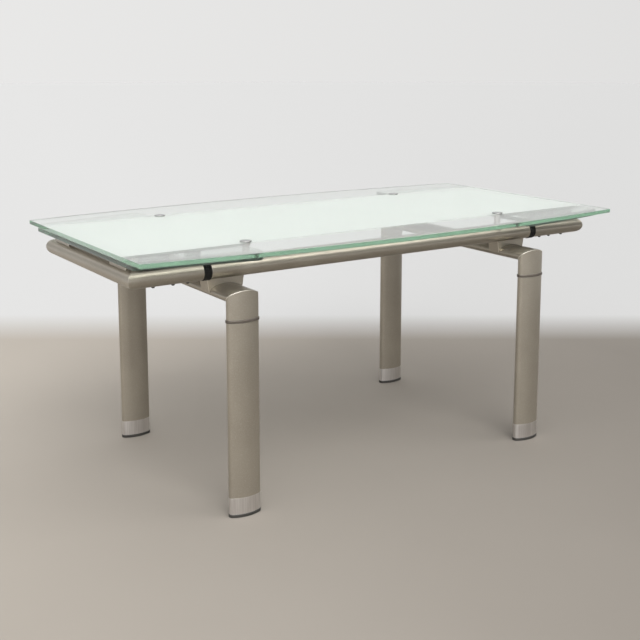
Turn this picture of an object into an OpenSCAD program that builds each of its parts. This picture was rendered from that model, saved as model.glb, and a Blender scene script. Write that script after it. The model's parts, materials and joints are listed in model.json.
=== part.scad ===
// Extending dining table. A boat-shaped glass top with a white lacquered band stands
// on four posts over a ring of round tube. Two arches of oval tube carry the ring.
// Each end frame pulls out along X on two bars that slide in the side rails, and
// carries a glass leaf that is stored under the end of the main top.
// X runs along the table, Y across it and Z up, with the front at -Y.
// The origin is the centre of the footprint on the floor. Sizes are in millimetres.

/* [Main top] */
// Height of the main glass above the floor
table_height = 750; // [740:1:780]
// Length of the main glass
top_length = 1700; // [1680:5:1760]
// Width of the main glass at its straight ends
end_width = 836; // [826:2:860]
// Width of the main glass at the middle
mid_width = 948; // [920:2:980]
// Thickness of the main glass
glass_t = 12; // [10:1:12]
// Width of the white lacquered band
band_width = 584; // [570:2:590]

/* [Leaves] */
// Length of one leaf along the table
leaf_length = 359; // [340:1:359]
// Thickness of the leaf glass
leaf_t = 12; // [8:1:12]
// Gap between the leaf and the main glass
leaf_gap = 4; // [3:0.5:4]
// Radius of the leaf's inner corners
leaf_corner_r = 20; // [10:1:50]
// Distance from the end of the main glass in to the stored leaf
leaf_inset = 7; // [5:1:10]

/* [Arches] */
// Distance from the middle to each arch
arch_x = 534; // [530:1:540]
// Distance from the middle to the centre of each leg
leg_y = 370; // [366:1:376]
// Height of the centre line of the beam
beam_z = 619; // [617:1:621]
// Long half-width of the oval tube
oval_a = 48.5; // [47:0.5:50]
// Short half-width of the oval tube
oval_b = 21; // [20.5:0.5:22]
// Wall of the oval tube
oval_wall = 3; // [2.5:0.5:4]
// Height of the seam ring between head and leg
seam_z = 555; // [545:1:560]
// Height of the top of the bright sleeve
sleeve_top = 56; // [50:1:70]
// Height of the foot pad
foot_h = 9; // [8:1:12]

/* [Frame] */
// Distance from the middle to the centre line of each side rail
rail_y = 287; // [285:1:290]
// Height of the centre line of the frame tubes
rail_z = 682; // [681:1:684]
// Outer radius of the frame tubes
tube_r = 24; // [23:0.5:24.5]
// Distance from the middle to the centre line of each end tube
end_x = 812; // [806:1:816]
// Distance from the middle to the centre of each rubber ring
ring_x = 603; // [598:1:608]
// Length of each rubber ring
ring_len = 24; // [20:1:28]
// Radius of the sliding bars
bar_r = 18; // [17:0.5:18]
// Distance from the middle to each glass post
post_x = 470; // [466:1:471]
// Distance from the middle line to each glass post
post_y = 279; // [274:1:282]

/* [Hidden] */
$fn = 64;
// facets of the two very large circles that shape the glass
arc_fn = 1440;
eps = 0.5;

// plan of the tops: two equal arcs whose chord is the end width
sagitta = (mid_width - end_width) / 2;
half_l = top_length / 2;
arc_r = (half_l * half_l + sagitta * sagitta) / (2 * sagitta);
arc_c = arc_r - mid_width / 2;
top_under = table_height - glass_t;
leaf_out = half_l - leaf_inset;
leaf_in = leaf_out - leaf_length;
leaf_top = top_under - leaf_gap;
leaf_under = leaf_top - leaf_t;
film_t = 0.4;
film_under = leaf_under - film_t;
// the lacquer stops this far short of the polished edge
film_edge = 1.5;

// oval made of four tangent arcs
oval_re = 13;
oval_cx = oval_a - oval_re;
oval_rs = (oval_a * oval_a + oval_b * oval_b - 2 * oval_a * oval_re) / (2 * (oval_b - oval_re));

// sliding parts
travel = leaf_length + leaf_inset + 2;
bore_r = tube_r - 3;
run_gap = 0.06;
fit_gap = 0.3;
ring_in = ring_x - ring_len / 2;
ring_out = ring_x + ring_len / 2;
spigot_len = 60;
spigot_in = ring_in - spigot_len;
glide_len = 40;
glide_out = spigot_in - travel - 1;
glide_in = glide_out - glide_len;
bar_out = end_x - 34;
arm_in = ring_out + eps;
screw_x = [655, 698, 756];

// fittings
seam_h = 8;
seam_proud = 2.4;
plug_len = 42;
cap_r = 17;
cap_h = 2.5;
stud_r = 5;
collar_r = 13.5;
stem_r = 10.5;
block_out = 278;
block_in = 232;
block_z0 = 618;
block_z1 = 672;
block_w0 = 52;
block_w1 = 60.5;
ring_skin = 0.8;
ring_rib = 1.8;
strip_in = 154;
strip_out = 262;
strip_w = 20;
pad_w = 20;

metal = [0.62, 0.58, 0.52];
bright = [0.78, 0.77, 0.75];
dark = [0.09, 0.09, 0.09];
clear = [0.62, 0.82, 0.74, 0.45];
white = [0.93, 0.96, 0.94];
steel = [0.45, 0.45, 0.46];

// ---- placing helpers: sx is -1 at the left, sy is -1 at the front ----

module side(sx) {
  scale_x = sx < 0 ? 1 : 0;
  mirror([scale_x, 0, 0]) children();
}

module corner(sx, sy) {
  flip_y = sy < 0 ? 1 : 0;
  side(sx) mirror([0, flip_y, 0]) children();
}

module x_tube(r, x0, x1) {
  translate([x0, 0, 0]) rotate([0, 90, 0]) cylinder(r = r, h = x1 - x0);
}

module x_pipe(r, bore, x0, x1) {
  difference() {
    x_tube(r, x0, x1);
    x_tube(bore, x0 - 1, x1 + 1);
  }
}

// ---- glass ----

module plan(trim) {
  intersection() {
    square([2 * half_l - 2 * trim, mid_width + 100], center = true);
    translate([0, -arc_c]) circle(r = arc_r - trim, $fn = arc_fn);
    translate([0, arc_c]) circle(r = arc_r - trim, $fn = arc_fn);
  }
}

module glass_top() {
  color(clear) difference() {
    translate([0, 0, top_under]) linear_extrude(glass_t) plan(0);
    for (sx = [-1, 1], sy = [-1, 1]) {
      translate([sx * post_x, sy * post_y, top_under - 1]) cylinder(r = stud_r + 2, h = glass_t + 2);
    }
  }
}

module top_band() {
  color(white) difference() {
    translate([-half_l + film_edge, -band_width / 2, top_under - film_t])
      cube([2 * half_l - 2 * film_edge, band_width, film_t]);
    for (sx = [-1, 1], sy = [-1, 1]) {
      translate([sx * post_x, sy * post_y, top_under - 1]) cylinder(r = collar_r + 1, h = 2);
    }
  }
}

// plan of the right leaf, with filleted inner corners; pulled out by the travel, its
// long sides carry on the bowed sides of the main top, so stored it is the narrower
module leaf_plan() {
  cx = leaf_in + leaf_corner_r;
  inner_r = arc_r - leaf_corner_r;
  cy = sqrt(inner_r * inner_r - (cx + travel) * (cx + travel)) - arc_c;
  tx = (cx + travel) * arc_r / inner_r - travel;
  difference() {
    intersection() {
      translate([leaf_in, -mid_width / 2]) square([leaf_length, mid_width]);
      translate([-travel, -arc_c]) circle(r = arc_r, $fn = arc_fn);
      translate([-travel, arc_c]) circle(r = arc_r, $fn = arc_fn);
    }
    for (s = [-1, 1]) {
      translate([(leaf_in + tx) / 2 - 1, s * (cy + 40)]) square([tx - leaf_in + 2, 80], center = true);
    }
  }
  for (s = [-1, 1]) {
    translate([cx, s * cy]) circle(r = leaf_corner_r);
  }
}

module leaf(sx) {
  color(clear) side(sx) translate([0, 0, leaf_under]) linear_extrude(leaf_t) leaf_plan();
}

module leaf_band(sx) {
  color(white) side(sx) translate([leaf_in + film_edge, -band_width / 2, film_under])
    cube([leaf_length - 2 * film_edge, band_width, film_t]);
}

// ---- posts that carry the main glass ----

module rail_cut(gap) {
  for (s = [-1, 1]) {
    translate([0, s * rail_y, rail_z]) x_tube(tube_r + gap, -700, 700);
  }
}

module post(sx, sy) {
  color(metal) corner(sx, sy) difference() {
    translate([post_x, post_y, 0]) {
      translate([0, 0, rail_z + 12]) cylinder(r = stem_r, h = top_under - rail_z - 13);
      translate([0, 0, top_under - 12]) cylinder(r1 = stem_r, r2 = collar_r, h = 10);
      translate([0, 0, top_under - 2]) cylinder(r = collar_r, h = 2);
    }
    rail_cut(fit_gap);
    translate([post_x, post_y, top_under - 24]) cylinder(r = stud_r + fit_gap, h = 30);
  }
}

module glass_caps() {
  color(metal) for (sx = [-1, 1], sy = [-1, 1]) {
    translate([sx * post_x, sy * post_y, 0]) {
      translate([0, 0, table_height]) cylinder(r = cap_r, h = cap_h - 1);
      translate([0, 0, table_height + cap_h - 1]) cylinder(r1 = cap_r, r2 = cap_r - 1, h = 1);
      translate([0, 0, top_under - 20]) cylinder(r = stud_r, h = glass_t + 20.5);
    }
  }
}

// ---- side rails, rubber rings and saddles ----

module rail(sy) {
  color(metal) corner(1, sy) translate([0, rail_y, rail_z]) x_pipe(tube_r, bore_r, -ring_in, ring_in);
}

module ring(sx, sy) {
  rib = ring_len / 6;
  color(dark) corner(sx, sy) translate([0, rail_y, rail_z]) difference() {
    union() {
      x_tube(tube_r + ring_skin, ring_in, ring_out);
      x_tube(bore_r - fit_gap, spigot_in, ring_in + 1);
      for (i = [0 : 2]) {
        x_tube(tube_r + ring_rib, ring_in + rib * (2 * i + 0.5), ring_in + rib * (2 * i + 1.5));
      }
    }
    x_tube(bar_r + run_gap, spigot_in - 1, ring_out + 1);
  }
}

module saddle(sx, sy) {
  color(metal) corner(sx, sy) difference() {
    translate([arch_x, block_out, 0]) rotate([90, 0, 0]) linear_extrude(block_out - block_in)
      polygon([[-block_w0, block_z0], [block_w0, block_z0], [block_w1, block_z1], [-block_w1, block_z1]]);
    rail_cut(fit_gap);
    translate([0, rail_y, rail_z]) x_tube(tube_r + ring_rib + fit_gap, ring_in - fit_gap, ring_out);
    translate([arch_x, 0, beam_z]) rotate([90, 0, 0])
      linear_extrude(2 * leg_y, center = true) oval(-fit_gap);
  }
}

// ---- arches: oval beam, mitred heads, seam rings, legs, sleeves and feet ----

module oval(inset) {
  tx = oval_cx * (1 + (oval_re - inset) / (oval_rs - oval_re));
  intersection() {
    translate([0, oval_b - oval_rs]) circle(r = oval_rs - inset);
    translate([0, oval_rs - oval_b]) circle(r = oval_rs - inset);
    square([2 * tx, 4 * oval_b], center = true);
  }
  for (s = [-1, 1]) {
    translate([s * oval_cx, 0]) circle(r = oval_re - inset);
  }
}

module oval_ring(outer, inner) {
  difference() {
    oval(outer);
    oval(inner);
  }
}

// everything on the beam's side of the rear mitre plane
module beam_side() {
  translate([-100, leg_y, beam_z]) rotate([45, 0, 0]) translate([0, -900, 0]) cube([200, 1200, 900]);
}

module beam(sx) {
  color(metal) side(sx) translate([arch_x, 0, 0]) intersection() {
    translate([0, 0, beam_z]) rotate([90, 0, 0])
      linear_extrude(2 * leg_y + 4 * oval_b, center = true) oval_ring(0, oval_wall);
    beam_side();
    mirror([0, 1, 0]) beam_side();
  }
}

module head(sx, sy) {
  z0 = seam_z + seam_h / 2;
  color(metal) corner(sx, sy) translate([arch_x, 0, 0]) difference() {
    translate([0, leg_y, z0]) linear_extrude(beam_z + 2 * oval_b - z0) oval_ring(0, oval_wall);
    beam_side();
  }
}

module seam_rings() {
  color(dark) for (sx = [-1, 1], sy = [-1, 1]) {
    translate([sx * arch_x, sy * leg_y, seam_z - seam_h / 2])
      linear_extrude(seam_h) oval_ring(-seam_proud, oval_wall + 4);
  }
}

module leg_plugs() {
  color(steel) for (sx = [-1, 1], sy = [-1, 1]) {
    translate([sx * arch_x, sy * leg_y, seam_z]) {
      translate([0, 0, -plug_len]) linear_extrude(plug_len - seam_h / 2) oval(oval_wall + fit_gap);
      translate([0, 0, -seam_h / 2]) linear_extrude(seam_h) oval(oval_wall + 4 + fit_gap);
      translate([0, 0, seam_h / 2]) linear_extrude(20) oval(oval_wall + fit_gap);
    }
  }
}

module leg(sx, sy) {
  color(metal) translate([sx * arch_x, sy * leg_y, sleeve_top])
    linear_extrude(seam_z - seam_h / 2 - sleeve_top) oval_ring(0, oval_wall);
}

module sleeve(sx, sy) {
  color(bright) translate([sx * arch_x, sy * leg_y, 0]) {
    translate([0, 0, foot_h]) linear_extrude(sleeve_top - foot_h) oval_ring(0, oval_wall + 4);
    translate([0, 0, sleeve_top - 1]) linear_extrude(36) oval_ring(oval_wall + fit_gap, oval_wall + 4);
  }
}

module foot(sx, sy) {
  color(dark) translate([sx * arch_x, sy * leg_y, 0]) {
    linear_extrude(foot_h) oval(-1);
    translate([0, 0, foot_h - 1]) linear_extrude(25) oval(oval_wall + 4 + fit_gap);
  }
}

// ---- end frames that pull out ----

module end_tube(sx) {
  color(metal) side(sx) difference() {
    translate([end_x, 0, rail_z]) rotate([90, 0, 0])
      cylinder(r = tube_r, h = 2 * (rail_y + tube_r) + 4, center = true);
    translate([end_x, 0, rail_z]) rotate([90, 0, 0])
      cylinder(r = bore_r, h = 2 * (rail_y + tube_r) + 6, center = true);
    for (m = [0, 1]) {
      mirror([0, m, 0]) corner_wedge();
    }
  }
}

// the half of the rear corner that belongs to the arm
module corner_wedge() {
  translate([end_x, rail_y, rail_z - 50]) rotate([0, 0, 45]) translate([-150, 0, 0]) cube([300, 150, 100]);
}

module arm(sx, sy) {
  color(metal) corner(sx, sy) difference() {
    translate([0, rail_y, rail_z]) x_tube(tube_r, arm_in, end_x + tube_r + 2);
    translate([0, rail_y, rail_z]) x_tube(bar_r + fit_gap, arm_in - 1, end_x + tube_r + 4);
    translate([end_x, rail_y, rail_z - 50]) rotate([0, 0, 45]) translate([-150, -150, 0]) cube([300, 150, 100]);
    for (x = screw_x) {
      translate([x, rail_y, rail_z - tube_r - 1]) cylinder(r = 2.8, h = tube_r);
    }
  }
}

module bar(sx, sy) {
  color(steel) corner(sx, sy) difference() {
    translate([0, rail_y, rail_z]) x_tube(bar_r, glide_in, bar_out);
    translate([0, rail_y, rail_z]) x_tube(bar_r - 3, glide_in - 1, bar_out + 1);
    for (x = screw_x) {
      translate([x, rail_y, rail_z - bar_r - 2]) cylinder(r = 2.8, h = bar_r);
    }
  }
}

module glides(sx) {
  color(dark) for (sy = [-1, 1]) {
    corner(sx, sy) translate([0, rail_y, rail_z]) x_pipe(bore_r - 0.1, bar_r + fit_gap, glide_in, glide_out);
  }
}

// two rests on the end tube, one near each corner, under the outer edge of the leaf
module leaf_strips(sx) {
  color(metal) for (sy = [-1, 1]) {
    corner(sx, sy) difference() {
      translate([end_x - strip_w / 2, strip_in, rail_z + 12])
        cube([strip_w, strip_out - strip_in, film_under - rail_z - 12]);
      translate([end_x, 0, rail_z]) rotate([90, 0, 0])
        cylinder(r = tube_r + fit_gap, h = 2 * strip_out + 20, center = true);
    }
  }
}

// one long rest near each corner and a short one near each rubber ring
module leaf_pads(sx) {
  color(dark) for (sy = [-1, 1]) {
    corner(sx, sy) difference() {
      union() {
        leaf_pad(ring_out + 4, 40);
        leaf_pad(712, 82);
      }
      translate([0, rail_y, rail_z]) x_tube(tube_r + fit_gap, 560, 900);
    }
  }
}

module leaf_pad(x0, len) {
  translate([x0, rail_y - pad_w / 2, rail_z + 12]) cube([len, pad_w, film_under - rail_z - 12]);
}

module screws(sx) {
  color(steel) for (sy = [-1, 1], x = screw_x) {
    corner(sx, sy) translate([x, rail_y, rail_z - tube_r]) {
      translate([0, 0, -4]) cylinder(r1 = 4, r2 = 5, h = 1);
      translate([0, 0, -3]) cylinder(r = 5, h = 3);
      translate([0, 0, -1]) cylinder(r = 2.5, h = 9);
    }
  }
}

glass_top();
top_band();
glass_caps();
post(-1, -1);  // post_fl
post(1, -1);  // post_fr
post(-1, 1);  // post_rl
post(1, 1);  // post_rr
rail(-1);  // rail_front
rail(1);  // rail_rear
ring(-1, -1);  // ring_fl
ring(1, -1);  // ring_fr
ring(-1, 1);  // ring_rl
ring(1, 1);  // ring_rr
saddle(-1, -1);  // saddle_fl
saddle(1, -1);  // saddle_fr
saddle(-1, 1);  // saddle_rl
saddle(1, 1);  // saddle_rr
beam(-1);  // beam_left
beam(1);  // beam_right
head(-1, -1);  // head_fl
head(1, -1);  // head_fr
head(-1, 1);  // head_rl
head(1, 1);  // head_rr
seam_rings();
leg_plugs();
leg(-1, -1);  // leg_fl
leg(1, -1);  // leg_fr
leg(-1, 1);  // leg_rl
leg(1, 1);  // leg_rr
sleeve(-1, -1);  // sleeve_fl
sleeve(1, -1);  // sleeve_fr
sleeve(-1, 1);  // sleeve_rl
sleeve(1, 1);  // sleeve_rr
foot(-1, -1);  // foot_fl
foot(1, -1);  // foot_fr
foot(-1, 1);  // foot_rl
foot(1, 1);  // foot_rr
end_tube(-1);  // end_tube_left
arm(-1, -1);  // arm_fl
arm(-1, 1);  // arm_rl
bar(-1, -1);  // bar_fl
bar(-1, 1);  // bar_rl
glides(-1);  // glides_left
leaf(-1);  // leaf_left
leaf_band(-1);  // leaf_band_left
leaf_strips(-1);  // leaf_strips_left
leaf_pads(-1);  // leaf_pads_left
screws(-1);  // screws_left
end_tube(1);  // end_tube_right
arm(1, -1);  // arm_fr
arm(1, 1);  // arm_rr
bar(1, -1);  // bar_fr
bar(1, 1);  // bar_rr
glides(1);  // glides_right
leaf(1);  // leaf_right
leaf_band(1);  // leaf_band_right
leaf_strips(1);  // leaf_strips_right
leaf_pads(1);  // leaf_pads_right
screws(1);  // screws_right
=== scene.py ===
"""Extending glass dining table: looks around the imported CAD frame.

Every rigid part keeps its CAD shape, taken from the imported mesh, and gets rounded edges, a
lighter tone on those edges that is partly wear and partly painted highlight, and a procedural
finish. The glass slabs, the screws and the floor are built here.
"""

import json
import math

import bmesh
import bpy
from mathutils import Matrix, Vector


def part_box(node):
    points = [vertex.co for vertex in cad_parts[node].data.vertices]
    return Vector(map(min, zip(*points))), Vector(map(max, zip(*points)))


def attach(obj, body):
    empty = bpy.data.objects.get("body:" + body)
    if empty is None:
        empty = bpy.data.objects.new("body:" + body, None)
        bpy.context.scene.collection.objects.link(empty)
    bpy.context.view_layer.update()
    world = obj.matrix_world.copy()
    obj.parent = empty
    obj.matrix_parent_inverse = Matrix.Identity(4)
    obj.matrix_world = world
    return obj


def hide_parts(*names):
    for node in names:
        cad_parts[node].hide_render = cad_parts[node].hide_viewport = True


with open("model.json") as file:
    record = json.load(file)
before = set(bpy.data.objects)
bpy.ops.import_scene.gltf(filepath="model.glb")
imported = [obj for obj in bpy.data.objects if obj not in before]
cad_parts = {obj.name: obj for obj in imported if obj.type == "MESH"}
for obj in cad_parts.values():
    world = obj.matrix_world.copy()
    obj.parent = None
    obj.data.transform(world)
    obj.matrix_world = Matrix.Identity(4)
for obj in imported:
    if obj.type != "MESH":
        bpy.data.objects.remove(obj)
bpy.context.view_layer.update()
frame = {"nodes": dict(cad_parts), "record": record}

NODES = frame["nodes"]
BODY_OF = {n: body for body, names in frame["record"]["behaviour"]["bodies"].items() for n in names}
SLOT_OF = {row["node"]: row["material_slot"] for row in frame["record"]["subparts"]}
MM = 0.001

# ---------------------------------------------------------------- camera

CAMERA_AZIMUTH = math.radians(-33.457)
CAMERA_ELEVATION = math.radians(9.288)
CAMERA_AT = Vector((-1.9039, -2.8236, 1.2753))
CAMERA_LENS = 59.931
# The photograph was taken level with a large shift. A smaller shift and a slight tilt down stand in
# for that here, so that the table also stays inside the other views.
CAMERA_SHIFT = -0.15
CAMERA_SENSOR = 36.0
CAMERA_CLIP = (0.05, 200.0)

# ---------------------------------------------------------------- light

# brightness of the studio at the horizon and overhead
WORLD_LOW, WORLD_HIGH = 0.78, 1.475
WORLD_COLOUR = (1.0, 0.995, 0.985, 1.0)
# sine of the height where it starts to brighten
HORIZON_END = 0.15
# what each side of a surrounding adds: direction, start and end of its cosine, gain at each
BACKDROP_SIDES = (
    ((-0.834, 0.551, 0.0), -0.3, 0.3, -0.04, 0.04),
)
STUDIO_SIDES = BACKDROP_SIDES + (
    ((0.90, -0.44, 0.0), 0.62, 1.0, 0.0, -0.90),
    ((-0.68, -0.73, 0.0), 0.3, 1.0, 0.0, 1.60),
    ((-0.834, 0.551, 0.0), 0.65, 0.95, 0.0, -0.60),
)
# painted light and shade on the floor near the table: lighter towards the front left, darker
# towards the right
FLOOR_PAINTED_LIGHT_SIDES = (
    ((0.90, -0.44, 0.0), -1.0, 1.0, 0.40, -0.40),
)
# the soft lamps: strength, which way they shine, how wide they look from the table
LAMPS = {
    "key": (1.56, (0.20, 0.85, -0.80), math.radians(40)),
    "fill": (0.62, (-0.50, 0.46, -0.76), math.radians(30)),
}
LAMP_COLOUR = (1.0, 0.985, 0.96)

# ---------------------------------------------------------------- floor, in metres from the table

FLOOR_RADIUS = 40.0
# straight out behind the table, as seen from the camera
BEHIND = (0.55, 0.835, 0.0)
# where the floor starts and ends its change to the tone of the backdrop
BEHIND_START, BEHIND_END = 1.20, 1.65
AROUND_START, AROUND_END = 2.6, 5.0
# the painted light and shade on the floor reaches its full strength this far out from the table's
# middle
FLOOR_PAINTED_LIGHT_FULL = 1.6

# ---------------------------------------------------------------- material helpers


class Nodes:
    """Short ways to add nodes to a tree."""

    def __init__(self, tree):
        self.tree = tree

    def node(self, kind, **inputs):
        made = self.tree.nodes.new(kind)
        for key, value in inputs.items():
            self.put(made.inputs[key.replace("_", " ")], value)
        return made

    def put(self, socket, value):
        if isinstance(value, bpy.types.NodeSocket):
            self.tree.links.new(value, socket)
        else:
            socket.default_value = value

    def coords(self, stretch=(1, 1, 1)):
        """Object coordinates, which are the row frame's in metres, stretched along each axis."""
        mapping = self.node("ShaderNodeMapping", Scale=stretch)
        source = self.node("ShaderNodeTexCoord")
        self.put(mapping.inputs["Vector"], source.outputs["Object"])
        return mapping.outputs["Vector"]

    def noise(self, scale, detail=3.0, roughness=0.5, stretch=(1, 1, 1)):
        made = self.node(
            "ShaderNodeTexNoise",
            Vector=self.coords(stretch), Scale=scale, Detail=detail, Roughness=roughness,
        )
        return made.outputs["Fac"]

    def remap(self, value, low, high, start=0.3, end=0.7):
        made = self.node(
            "ShaderNodeMapRange",
            Value=value, From_Min=start, From_Max=end, To_Min=low, To_Max=high,
        )
        return made.outputs["Result"]

    def mix(self, factor, first, second, blend="MIX"):
        made = self.tree.nodes.new("ShaderNodeMix")
        made.data_type = "RGBA"
        made.blend_type = blend
        self.put(made.inputs[0], factor)
        self.put(made.inputs[6], first)
        self.put(made.inputs[7], second)
        return made.outputs[2]

    def maths(self, operation, first, second):
        made = self.tree.nodes.new("ShaderNodeMath")
        made.operation = operation
        self.put(made.inputs[0], first)
        self.put(made.inputs[1], second)
        return made.outputs[0]

    def along(self, vector, axis):
        """The dot product of a vector socket and an axis."""
        made = self.tree.nodes.new("ShaderNodeVectorMath")
        made.operation = "DOT_PRODUCT"
        self.put(made.inputs[0], vector)
        made.inputs[1].default_value = axis
        return made.outputs["Value"]

    def side_tone(self, heading, sides):
        """How bright the surroundings are in a direction, 1 being the level behind the table."""
        tone = 1.0
        for axis, start, end, low, high in sides:
            gain = self.remap(self.along(heading, axis), low, high, start, end)
            tone = self.maths("ADD", tone, gain)
        return tone


class Shader(Nodes):
    """A Principled material."""

    def __init__(self, name):
        self.mat = bpy.data.materials.new(name)
        self.mat.use_nodes = True
        super().__init__(self.mat.node_tree)
        self.out = self.tree.nodes["Material Output"]
        self.bsdf = self.tree.nodes["Principled BSDF"]

    def set(self, **values):
        for key, value in values.items():
            self.put(self.bsdf.inputs[key.replace("_", " ")], value)

    def edge_wear_and_highlight(self):
        """1 on the rounded edges of a piece, 0 elsewhere. The materials lighten these faces, partly
        as wear and partly as a painted highlight.
        """
        made = self.node("ShaderNodeAttribute")
        made.attribute_name = "edge"
        return made.outputs["Fac"]

    def bump(self, height, strength, distance):
        made = self.node("ShaderNodeBump", Height=height, Strength=strength, Distance=distance)
        self.put(self.bsdf.inputs["Normal"], made.outputs["Normal"])


def rgb(r, g, b):
    return (r, g, b, 1.0)


# ---------------------------------------------------------------- materials

# a metre of the glass absorbs each colour by the density times 1 less the tint
GLASS_TINT = rgb(0.25, 0.74, 0.42)
GLASS_DENSITY = 3.5


def frame_paint():
    """Satin metallic lacquer, champagne grey, with fine flake and slight orange peel."""
    s = Shader("frame_paint")
    cloud = s.noise(9, 3)
    flake = s.noise(2600, 1, 0.6)
    mottle = s.noise(300, 2, 0.6)
    tone = s.mix(s.remap(cloud, 0, 1), rgb(0.325, 0.293, 0.243), rgb(0.365, 0.332, 0.277))
    fine, coarse = s.remap(flake, 0, 0.30, 0.45, 0.75), s.remap(mottle, 0, 0.22, 0.5, 0.7)
    tone = s.mix(s.maths("MAXIMUM", fine, coarse), tone, rgb(0.62, 0.58, 0.51))
    # painted highlight: the rounded edges, mitres and saddle arches among them, are lightened to
    # show the light lines they catch
    tone = s.mix(s.maths("MULTIPLY", s.edge_wear_and_highlight(), 0.7), tone, rgb(0.80, 0.77, 0.70))
    s.set(Base_Color=tone, Metallic=0.78, Roughness=s.remap(s.noise(60, 2), 0.29, 0.37))
    s.bump(s.noise(1100, 2), 0.10, 0.0002)
    return s.mat


def bright_metal():
    """Satin aluminium, brushed upwards."""
    s = Shader("bright_metal")
    lines = s.noise(260, 3, 0.6, (1, 1, 0.03))
    tone = s.mix(s.remap(lines, 0, 1), rgb(0.60, 0.575, 0.56), rgb(0.74, 0.715, 0.70))
    tone = s.mix(s.maths("MULTIPLY", s.edge_wear_and_highlight(), 0.5), tone, rgb(0.86, 0.84, 0.82))
    s.set(Base_Color=tone, Metallic=1.0, Roughness=s.remap(lines, 0.30, 0.42))
    s.bump(lines, 0.12, 0.0002)
    return s.mat


def cap_metal():
    """Satin nickel, greyer than the sleeves, for the discs on the glass."""
    s = Shader("cap_metal")
    grain = s.noise(700, 3, 0.6)
    tone = s.mix(s.remap(grain, 0, 1), rgb(0.32, 0.325, 0.32), rgb(0.38, 0.385, 0.38))
    tone = s.mix(s.maths("MULTIPLY", s.edge_wear_and_highlight(), 0.4), tone, rgb(0.50, 0.50, 0.49))
    s.set(Base_Color=tone, Metallic=1.0, Roughness=s.remap(s.noise(90, 2), 0.16, 0.24))
    s.bump(grain, 0.06, 0.0001)
    return s.mat


def steel():
    """Drawn steel, with the lines along X."""
    s = Shader("steel")
    lines = s.noise(420, 3, 0.6, (0.03, 1, 1))
    tone = s.mix(s.remap(lines, 0, 1), rgb(0.50, 0.50, 0.51), rgb(0.62, 0.62, 0.63))
    tone = s.mix(s.maths("MULTIPLY", s.edge_wear_and_highlight(), 0.4), tone, rgb(0.75, 0.75, 0.76))
    s.set(Base_Color=tone, Metallic=1.0, Roughness=s.remap(lines, 0.22, 0.34))
    s.bump(lines, 0.10, 0.0002)
    return s.mat


def black_rubber():
    s = Shader("black_rubber")
    grain = s.noise(900, 4, 0.6)
    tone = s.mix(s.remap(grain, 0, 1), rgb(0.006, 0.006, 0.006), rgb(0.014, 0.0135, 0.013))
    tone = s.mix(s.maths("MULTIPLY", s.edge_wear_and_highlight(), 0.4), tone, rgb(0.030, 0.029, 0.028))
    s.set(Base_Color=tone, Roughness=s.remap(s.noise(120, 2), 0.55, 0.75), Specular_IOR_Level=0.3)
    s.bump(grain, 0.25, 0.0003)
    return s.mat


def dark_plastic():
    s = Shader("dark_plastic")
    grain = s.noise(1400, 3, 0.6)
    tone = s.mix(s.remap(s.noise(30, 2), 0, 1), rgb(0.020, 0.019, 0.017), rgb(0.032, 0.030, 0.027))
    tone = s.mix(s.maths("MULTIPLY", s.edge_wear_and_highlight(), 0.35), tone, rgb(0.13, 0.127, 0.12))
    s.set(Base_Color=tone, Roughness=s.remap(s.noise(90, 2), 0.42, 0.56))
    s.bump(grain, 0.22, 0.0002)
    return s.mat


def seam_grey():
    """The narrow rings between heads and legs: darker than the paint, smooth."""
    s = Shader("seam_grey")
    tone = s.mix(s.remap(s.noise(40, 2), 0, 1), rgb(0.085, 0.072, 0.060), rgb(0.11, 0.095, 0.08))
    tone = s.mix(s.maths("MULTIPLY", s.edge_wear_and_highlight(), 0.3), tone, rgb(0.22, 0.195, 0.17))
    s.set(Base_Color=tone, Metallic=0.4, Roughness=s.remap(s.noise(300, 2), 0.34, 0.44))
    s.bump(s.noise(1500, 2), 0.08, 0.0002)
    return s.mat


def black_steel():
    """Blackened steel, rubbed bright at the rim of the head."""
    s = Shader("black_steel")
    tone = s.mix(s.remap(s.noise(500, 2), 0, 1), rgb(0.030, 0.028, 0.026), rgb(0.055, 0.051, 0.047))
    tone = s.mix(s.maths("MULTIPLY", s.edge_wear_and_highlight(), 0.4), tone, rgb(0.22, 0.21, 0.20))
    s.set(Base_Color=tone, Metallic=0.7, Roughness=s.remap(s.noise(900, 2), 0.35, 0.5))
    s.bump(s.noise(2200, 2), 0.1, 0.0001)
    return s.mat


def white_lacquer():
    """Back-painted lacquer, faintly cloudy, as sprayed."""
    s = Shader("white_lacquer")
    cloud = s.noise(6, 4, 0.55)
    tone = s.mix(s.remap(cloud, 0, 1), rgb(0.895, 0.915, 0.903), rgb(0.910, 0.925, 0.915))
    s.set(Base_Color=tone, Roughness=s.remap(s.noise(240, 3), 0.28, 0.40), IOR=1.46)
    s.bump(s.noise(1600, 2), 0.12, 0.0002)
    return s.mat


def clear_glass():
    """Float glass: green by its own absorption, with faint wiping marks in the gloss."""
    s = Shader("clear_glass")
    marks = s.noise(14, 5, 0.6, (1, 3, 1))
    s.set(
        Base_Color=rgb(1, 1, 1), Transmission_Weight=1.0, IOR=1.52,
        Roughness=s.remap(marks, 0.0, 0.012, 0.45, 0.8),
    )
    volume = s.node("ShaderNodeVolumeAbsorption", Color=GLASS_TINT, Density=GLASS_DENSITY)
    s.tree.links.new(volume.outputs[0], s.out.inputs["Volume"])
    return s.mat


def ground_edge():
    """The ground and polished edge of the same glass."""
    s = Shader("ground_edge")
    lines = s.noise(2400, 2, 0.5, (0.01, 0.01, 1))
    s.set(
        Base_Color=rgb(0.46, 0.58, 0.50), Transmission_Weight=0.90, IOR=1.52,
        Roughness=s.remap(lines, 0.10, 0.16),
    )
    volume = s.node("ShaderNodeVolumeAbsorption", Color=GLASS_TINT, Density=GLASS_DENSITY)
    s.tree.links.new(volume.outputs[0], s.out.inputs["Volume"])
    return s.mat


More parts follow.
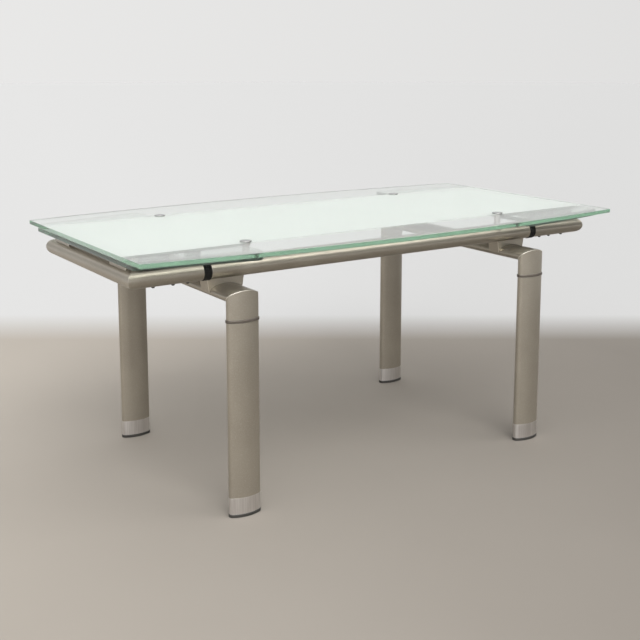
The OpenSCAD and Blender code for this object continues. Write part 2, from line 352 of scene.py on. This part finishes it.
MATS = {
    "frame_paint": frame_paint(),
    "bright_metal": bright_metal(),
    "cap_metal": cap_metal(),
    "steel": steel(),
    "black_rubber": black_rubber(),
    "dark_plastic": dark_plastic(),
    "seam_grey": seam_grey(),
    "black_steel": black_steel(),
    "white_lacquer": white_lacquer(),
    "clear_glass": clear_glass(),
    "ground_edge": ground_edge(),
}

# ---------------------------------------------------------------- mesh helpers

# vertices closer than this are one, and faces closer to flat than this are one
WELD = 2e-6
FLAT_DEG = 0.25
# edges sharper than these are rounded, or shaded sharp on a part and on a glass slab
ROUND_DEG = 28
SHARP_DEG, SLAB_SHARP_DEG = 32, 20


def finish_mesh(bm, name, materials, sharp_deg=SHARP_DEG):
    """Turns the bmesh into an object with smooth shading, sharp only past the angle."""
    me = bpy.data.meshes.new(name)
    bm.to_mesh(me)
    bm.free()
    obj = bpy.data.objects.new(name, me)
    bpy.context.scene.collection.objects.link(obj)
    for key in materials:
        me.materials.append(MATS[key])
    me.shade_smooth()
    me.set_sharp_from_angle(angle=math.radians(sharp_deg))
    weighted = obj.modifiers.new("weighted_normals", "WEIGHTED_NORMAL")
    weighted.keep_sharp = True
    weighted.weight = 80
    return obj


def install(obj, node):
    """The piece stands for its CAD node, on the same body; the CAD part itself is hidden."""
    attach(obj, BODY_OF[node])
    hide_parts(node)


def edge_layer(bm):
    """The face layer that the edge wear and painted highlights in the materials read."""
    return bm.faces.layers.float.get("edge") or bm.faces.layers.float.new("edge")


def round_edges(bm, width, segments):
    """Rounds each sharp edge, and marks the new faces in the edge attribute."""
    layer = edge_layer(bm)
    sharp = [
        e for e in bm.edges
        if len(e.link_faces) == 2 and e.calc_face_angle(0) > math.radians(ROUND_DEG)
    ]
    made = bmesh.ops.bevel(
        bm, geom=sharp, offset=width, offset_type="OFFSET", segments=segments,
        profile=0.5, affect="EDGES", clamp_overlap=True, loop_slide=True,
    )
    for f in made["faces"]:
        f[layer] = 1.0


def cad_bmesh(node):
    """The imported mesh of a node, welded, with its flat faces whole again."""
    bm = bmesh.new()
    bm.from_mesh(NODES[node].data)
    bmesh.ops.remove_doubles(bm, verts=bm.verts, dist=WELD)
    bmesh.ops.dissolve_limit(
        bm, angle_limit=math.radians(FLAT_DEG), verts=bm.verts, edges=bm.edges,
    )
    for f in bm.faces:
        f.material_index = 0
    return bm


def rounded_copy(node, width, segments, material=None):
    """A CAD part with its edges rounded by a width in millimetres."""
    bm = cad_bmesh(node)
    round_edges(bm, width * MM, segments)
    install(finish_mesh(bm, node + "_piece", [material or SLOT_OF[node]]), node)


# ---------------------------------------------------------------- rigid parts

CORNERS = ("fl", "fr", "rl", "rr")
SIDES = ("left", "right")

for c in CORNERS:
    rounded_copy("head_" + c, 1.6, 4)
    rounded_copy("leg_" + c, 0.5, 2)
    rounded_copy("sleeve_" + c, 0.5, 2)
    rounded_copy("foot_" + c, 1.2, 3)
    rounded_copy("saddle_" + c, 1.6, 4)
    rounded_copy("ring_" + c, 0.7, 2)
    rounded_copy("post_" + c, 0.5, 2)
    rounded_copy("arm_" + c, 0.6, 2)
    rounded_copy("bar_" + c, 0.5, 2)
for s in SIDES:
    rounded_copy("beam_" + s, 1.2, 3)
    rounded_copy("end_tube_" + s, 0.8, 3)
    rounded_copy("glides_" + s, 0.4, 2)
    rounded_copy("leaf_strips_" + s, 1.0, 2)
    rounded_copy("leaf_pads_" + s, 1.0, 2)
rounded_copy("rail_front", 0.6, 2)
rounded_copy("rail_rear", 0.6, 2)
rounded_copy("glass_caps", 0.4, 2, "cap_metal")
rounded_copy("seam_rings", 1.5, 4, "seam_grey")
rounded_copy("leg_plugs", 0.5, 2)

# ---------------------------------------------------------------- glass

# chamfer along the edges of a slab, radius of its corners, and radius of the holes for the studs
ARRIS = 1.2 * MM
CORNER_R = 3.0 * MM
STUD_HOLE = 7.0 * MM
# a corner is where the outline turns by more than this
CORNER_TURN = math.radians(30)
# the film of lacquer hangs this far below the glass, so that the two faces are not one
FILM_GAP = 0.05 * MM
# how well the height of a vertex is known
LEVEL = 1e-5


def outline_of(node, z):
    """The outer outline of a slab node at height z, counter-clockwise from its rear right."""
    points = [v.co for v in NODES[node].data.vertices if abs(v.co.z - z) < LEVEL]
    lo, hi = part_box(node)
    cx, cy = (lo.x + hi.x) / 2, (lo.y + hi.y) / 2
    hull = convex_hull(sorted({(round(p.x, 6), round(p.y, 6)) for p in points}))
    start = max(range(len(hull)), key=lambda i: (hull[i][0] - cx) + 3 * (hull[i][1] - cy))
    return hull[start:] + hull[:start]


def convex_hull(points):
    """The hull of sorted points in the plane, counter-clockwise."""

    def half(seq):
        out = []
        for p in seq:
            while len(out) > 1 and (
                (out[-1][0] - out[-2][0]) * (p[1] - out[-2][1])
                - (out[-1][1] - out[-2][1]) * (p[0] - out[-2][0])
            ) <= 1e-12:
                out.pop()
            out.append(p)
        return out

    return half(points)[:-1] + half(reversed(points))[:-1]


def rounded_outline(points, radius, steps=5):
    """The outline with an arc at each corner."""
    out = []
    n = len(points)
    for i, p in enumerate(points):
        p = Vector(p)
        a, b = Vector(points[i - 1]) - p, Vector(points[(i + 1) % n]) - p
        turn = math.pi - a.angle(b)
        if turn < CORNER_TURN:
            out.append(p)
            continue
        cut = radius * math.tan(turn / 2)
        a.normalize()
        b.normalize()
        centre = p + (a + b).normalized() * (radius / math.cos(turn / 2))
        first, last = p + a * cut - centre, p + b * cut - centre
        for k in range(steps + 1):
            t = k / steps
            w = first.lerp(last, t).normalized() * radius
            out.append(centre + w)
    return out


def inset(points, distance):
    """The outline moved inwards, for a convex counter-clockwise outline."""
    out = []
    n = len(points)
    for i, p in enumerate(points):
        a, b = (p - points[i - 1]).normalized(), (points[(i + 1) % n] - p).normalized()
        na, nb = Vector((-a.y, a.x)), Vector((-b.y, b.x))
        m = (na + nb).normalized()
        out.append(p + m * (distance / max(m.dot(na), 0.3)))
    return out


def slab(node, band, holes=()):
    """A glass slab with chamfered, ground edges and white lacquer on the middle of its underside.

    Materials: 0 polished faces, 1 ground edge, 2 lacquer.
    """
    lo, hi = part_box(node)
    outline = rounded_outline(outline_of(node, hi.z), CORNER_R)
    inner = inset(outline, ARRIS)
    rings = [(inner, lo.z), (outline, lo.z + ARRIS), (outline, hi.z - ARRIS), (inner, hi.z)]
    bm = bmesh.new()
    loops = [[bm.verts.new((p.x, p.y, z)) for p in ring] for ring, z in rings]
    n = len(outline)
    for k in range(3):
        for i in range(n):
            j = (i + 1) % n
            f = bm.faces.new((loops[k][i], loops[k][j], loops[k + 1][j], loops[k + 1][i]))
            f.material_index = 1
    bm.faces.new(list(reversed(loops[0])))
    bm.faces.new(loops[3])
    bm.normal_update()
    if holes:
        bm = drilled(bm, holes, lo.z, hi.z)
    under = faces_below(bm)
    for y in (-band, band):
        around = {e for f in under for e in f.edges} | {v for f in under for v in f.verts}
        bmesh.ops.bisect_plane(
            bm, geom=under + list(around), plane_co=(0, y, 0), plane_no=(0, 1, 0), dist=1e-7,
        )
        under = faces_below(bm)
    for f in under:
        if abs(f.calc_center_median().y) < band:
            f.material_index = 2
    materials = ["clear_glass", "ground_edge", "white_lacquer"]
    install(finish_mesh(bm, node + "_piece", materials, SLAB_SHARP_DEG), node)


def faces_below(bm):
    return [f for f in bm.faces if f.normal.z < -0.99]


def drilled(bm, holes, z0, z1, steps=40):
    """The slab with round holes through it, their walls ground like the edge."""
    past = 1 * MM
    cut = bmesh.new()
    for x, y, r in holes:
        ring = [
            [
                cut.verts.new((x + r * math.cos(a), y + r * math.sin(a), z))
                for a in [2 * math.pi * k / steps for k in range(steps)]
            ]
            for z in (z0 - past, z1 + past)
        ]
        for k in range(steps):
            j = (k + 1) % steps
            cut.faces.new((ring[0][k], ring[0][j], ring[1][j], ring[1][k])).material_index = 1
        cut.faces.new(list(reversed(ring[0]))).material_index = 1
        cut.faces.new(ring[1]).material_index = 1
    made = []
    for source in (bm, cut):
        me = bpy.data.meshes.new("drill")
        source.to_mesh(me)
        source.free()
        for key in ("clear_glass", "ground_edge"):
            me.materials.append(MATS[key])
        obj = bpy.data.objects.new("drill", me)
        bpy.context.scene.collection.objects.link(obj)
        made.append(obj)
    body, cutter = made
    cutting = body.modifiers.new("cut", "BOOLEAN")
    cutting.operation, cutting.solver, cutting.object = "DIFFERENCE", "EXACT", cutter
    result = bmesh.new()
    result.from_mesh(body.evaluated_get(bpy.context.evaluated_depsgraph_get()).data)
    for obj in made:
        me = obj.data
        bpy.data.objects.remove(obj)
        bpy.data.meshes.remove(me)
    bmesh.ops.triangulate(result, faces=[f for f in result.faces if len(f.verts) > 4])
    result.normal_update()
    return result


def band_half(node):
    """Half the width of a lacquered band."""
    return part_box(node)[1].y


def band_piece(node):
    """The film of lacquer as it shows from below, a hair under the glass."""
    bm = cad_bmesh(node)
    top = max(v.co.z for v in bm.verts)
    for v in bm.verts:
        if abs(v.co.z - top) < 1e-6:
            v.co.z = top - FILM_GAP
    install(finish_mesh(bm, node + "_piece", ["white_lacquer"]), node)


stud_holes = []
for c in CORNERS:
    lo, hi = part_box("post_" + c)
    stud_holes.append(((lo.x + hi.x) / 2, (lo.y + hi.y) / 2, STUD_HOLE))

slab("glass_top", band_half("top_band"), stud_holes)
for s in SIDES:
    slab("leaf_" + s, band_half("leaf_band_" + s))
    band_piece("leaf_band_" + s)
band_piece("top_band")

# ---------------------------------------------------------------- screws

HEAD_R, HEAD_HIGH = 5.0 * MM, 3.9 * MM
SHANK_R, HEX_R, HEX_DEEP = 2.5 * MM, 1.9 * MM, 1.5 * MM
# the head's outline, as shares of its radius and height
HEAD_DOME = ((1.0, 0.0), (1.0, 0.25), (0.93, 0.55), (0.78, 0.80), (0.55, 0.97))


def button_screw(bm, x, y, z_seat, z_tip, steps=28):
    """A button-head screw with a hexagon recess, its head hanging below z_seat."""
    layer = edge_layer(bm)

    def ring(radius, z, six=False):
        out = []
        for k in range(steps):
            a = 2 * math.pi * k / steps
            r = radius
            if six:
                w = (a + math.pi / 6) % (math.pi / 3) - math.pi / 6
                r = radius * math.cos(math.pi / 6) / math.cos(w)
            out.append(bm.verts.new((x + r * math.cos(a), y + r * math.sin(a), z)))
        return out

    rings = [ring(SHANK_R, z_tip), ring(SHANK_R, z_seat)]
    rings += [ring(r * HEAD_R, z_seat - h * HEAD_HIGH) for r, h in HEAD_DOME]
    rings += [
        ring(HEX_R, z_seat - 0.99 * HEAD_HIGH, True),
        ring(HEX_R, z_seat - HEAD_HIGH + HEX_DEEP, True),
    ]
    for k, (a, b) in enumerate(zip(rings, rings[1:])):
        for i in range(steps):
            j = (i + 1) % steps
            f = bm.faces.new((a[i], b[i], b[j], a[j]))
            f[layer] = 1.0 if k == 2 else 0.0
    bm.faces.new(rings[0])
    bm.faces.new(list(reversed(rings[-1])))


def screw_piece(side):
    """The screws under both arms of one side, where the CAD solids are."""
    node = "screws_" + side
    arm_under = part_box("arm_f" + side[0])[0].z
    bm = bmesh.new()
    for lo, hi in cad_islands(node):
        button_screw(bm, (lo.x + hi.x) / 2, (lo.y + hi.y) / 2, arm_under, hi.z)
    bmesh.ops.recalc_face_normals(bm, faces=bm.faces)
    install(finish_mesh(bm, node + "_piece", [SLOT_OF[node]]), node)


def cad_islands(node):
    """The corners of each separate solid in a node."""
    bm = bmesh.new()
    bm.from_mesh(NODES[node].data)
    bmesh.ops.remove_doubles(bm, verts=bm.verts, dist=WELD)
    left, boxes = set(bm.verts), []
    while left:
        todo, seen = [left.pop()], []
        while todo:
            v = todo.pop()
            seen.append(v.co.copy())
            for e in v.link_edges:
                w = e.other_vert(v)
                if w in left:
                    left.discard(w)
                    todo.append(w)
        boxes.append((
            Vector([min(p[i] for p in seen) for i in range(3)]),
            Vector([max(p[i] for p in seen) for i in range(3)]),
        ))
    bm.free()
    return sorted(boxes, key=lambda b: tuple(b[0]))


for s in SIDES:
    screw_piece(s)

# ---------------------------------------------------------------- floor, light, camera


def make_floor():
    """A wide floor: warm grey round the table with painted light and shade on it, lighter towards
    the front left and darker towards the right, paling outwards to the backdrop.
    """
    bm = bmesh.new()
    bmesh.ops.create_circle(bm, cap_ends=True, radius=FLOOR_RADIUS, segments=96)
    me = bpy.data.meshes.new("floor")
    bm.to_mesh(me)
    bm.free()
    floor = bpy.data.objects.new("floor", me)
    bpy.context.scene.collection.objects.link(floor)
    s = Shader("floor_plain")
    spot = s.coords()
    away = s.node("ShaderNodeVectorMath")
    away.operation = "LENGTH"
    s.put(away.inputs[0], spot)
    away = away.outputs["Value"]
    # the direction from the table, growing from nothing at its middle
    heading = s.node("ShaderNodeVectorMath")
    heading.operation = "SCALE"
    s.put(heading.inputs[0], spot)
    grown = s.maths("MAXIMUM", away, FLOOR_PAINTED_LIGHT_FULL)
    s.put(heading.inputs["Scale"], s.maths("DIVIDE", 1.0, grown))
    heading = heading.outputs["Vector"]
    cloud = s.noise(0.9, 3, 0.5)
    near = s.mix(s.remap(cloud, 0, 1), rgb(0.230, 0.210, 0.186), rgb(0.244, 0.223, 0.198))
    # painted light and shade: the near floor is lightened towards the front left and darkened
    # towards the right
    near = s.mix(1.0, near, s.side_tone(heading, FLOOR_PAINTED_LIGHT_SIDES), "MULTIPLY")
    # painted shade: the far floor takes on the backdrop's faint shading by direction, so that the
    # two meet without a seam
    far = s.mix(1.0, rgb(0.411, 0.413, 0.416), s.side_tone(heading, BACKDROP_SIDES), "MULTIPLY")
    behind = s.remap(s.along(spot, BEHIND), 0, 1, BEHIND_START, BEHIND_END)
    around = s.remap(away, 0, 1, AROUND_START, AROUND_END)
    blend = s.maths("MAXIMUM", behind, around)
    s.set(Base_Color=s.mix(blend, near, far), Roughness=0.85, Specular_IOR_Level=0.2)
    me.materials.append(s.mat)


def make_lights():
    """A pale studio, and two broad soft lamps high in front and high on the right."""
    world = bpy.data.worlds.new("studio")
    bpy.context.scene.world = world
    world.use_nodes = True
    n = Nodes(world.node_tree)
    heading = n.node("ShaderNodeTexCoord").outputs["Generated"]
    up = n.along(heading, (0.0, 0.0, 1.0))
    height = n.remap(up, WORLD_LOW, WORLD_HIGH, HORIZON_END, 1.0)
    back = n.tree.nodes["Background"]
    # the backdrop itself is plain; what lights the table also has a bright and two dark sides
    seen = n.node("ShaderNodeLightPath").outputs["Is Camera Ray"]
    lighting = n.side_tone(heading, STUDIO_SIDES)
    backdrop = n.side_tone(heading, BACKDROP_SIDES)
    tone = n.remap(seen, lighting, backdrop, 0, 1)
    n.put(back.inputs["Strength"], n.maths("MULTIPLY", height, tone))
    back.inputs["Color"].default_value = WORLD_COLOUR
    for name, (strength, towards, angle) in LAMPS.items():
        lamp = bpy.data.lights.new(name, "SUN")
        lamp.energy = strength
        lamp.angle = angle
        lamp.color = LAMP_COLOUR
        obj = bpy.data.objects.new(name, lamp)
        obj.rotation_euler = Vector(towards).to_track_quat("-Z", "Y").to_euler()
        bpy.context.scene.collection.objects.link(obj)


def make_camera():
    data = bpy.data.cameras.new("camera")
    data.lens = CAMERA_LENS
    data.sensor_width = CAMERA_SENSOR
    data.shift_y = CAMERA_SHIFT
    data.clip_start, data.clip_end = CAMERA_CLIP
    cam = bpy.data.objects.new("camera", data)
    cam.location = CAMERA_AT
    a, e = CAMERA_AZIMUTH, CAMERA_ELEVATION
    forward = Vector((-math.sin(a) * math.cos(e), math.cos(a) * math.cos(e), -math.sin(e)))
    cam.rotation_euler = forward.to_track_quat("-Z", "Y").to_euler()
    bpy.context.scene.collection.objects.link(cam)
    bpy.context.scene.camera = cam


make_floor()
make_lights()
make_camera()

scene = bpy.context.scene
scene.view_settings.view_transform = "Standard"
# light bounces many times inside the edges of the glass
scene.cycles.max_bounces = 24
scene.cycles.diffuse_bounces = 8
scene.cycles.glossy_bounces = 16
scene.cycles.transmission_bounces = 24
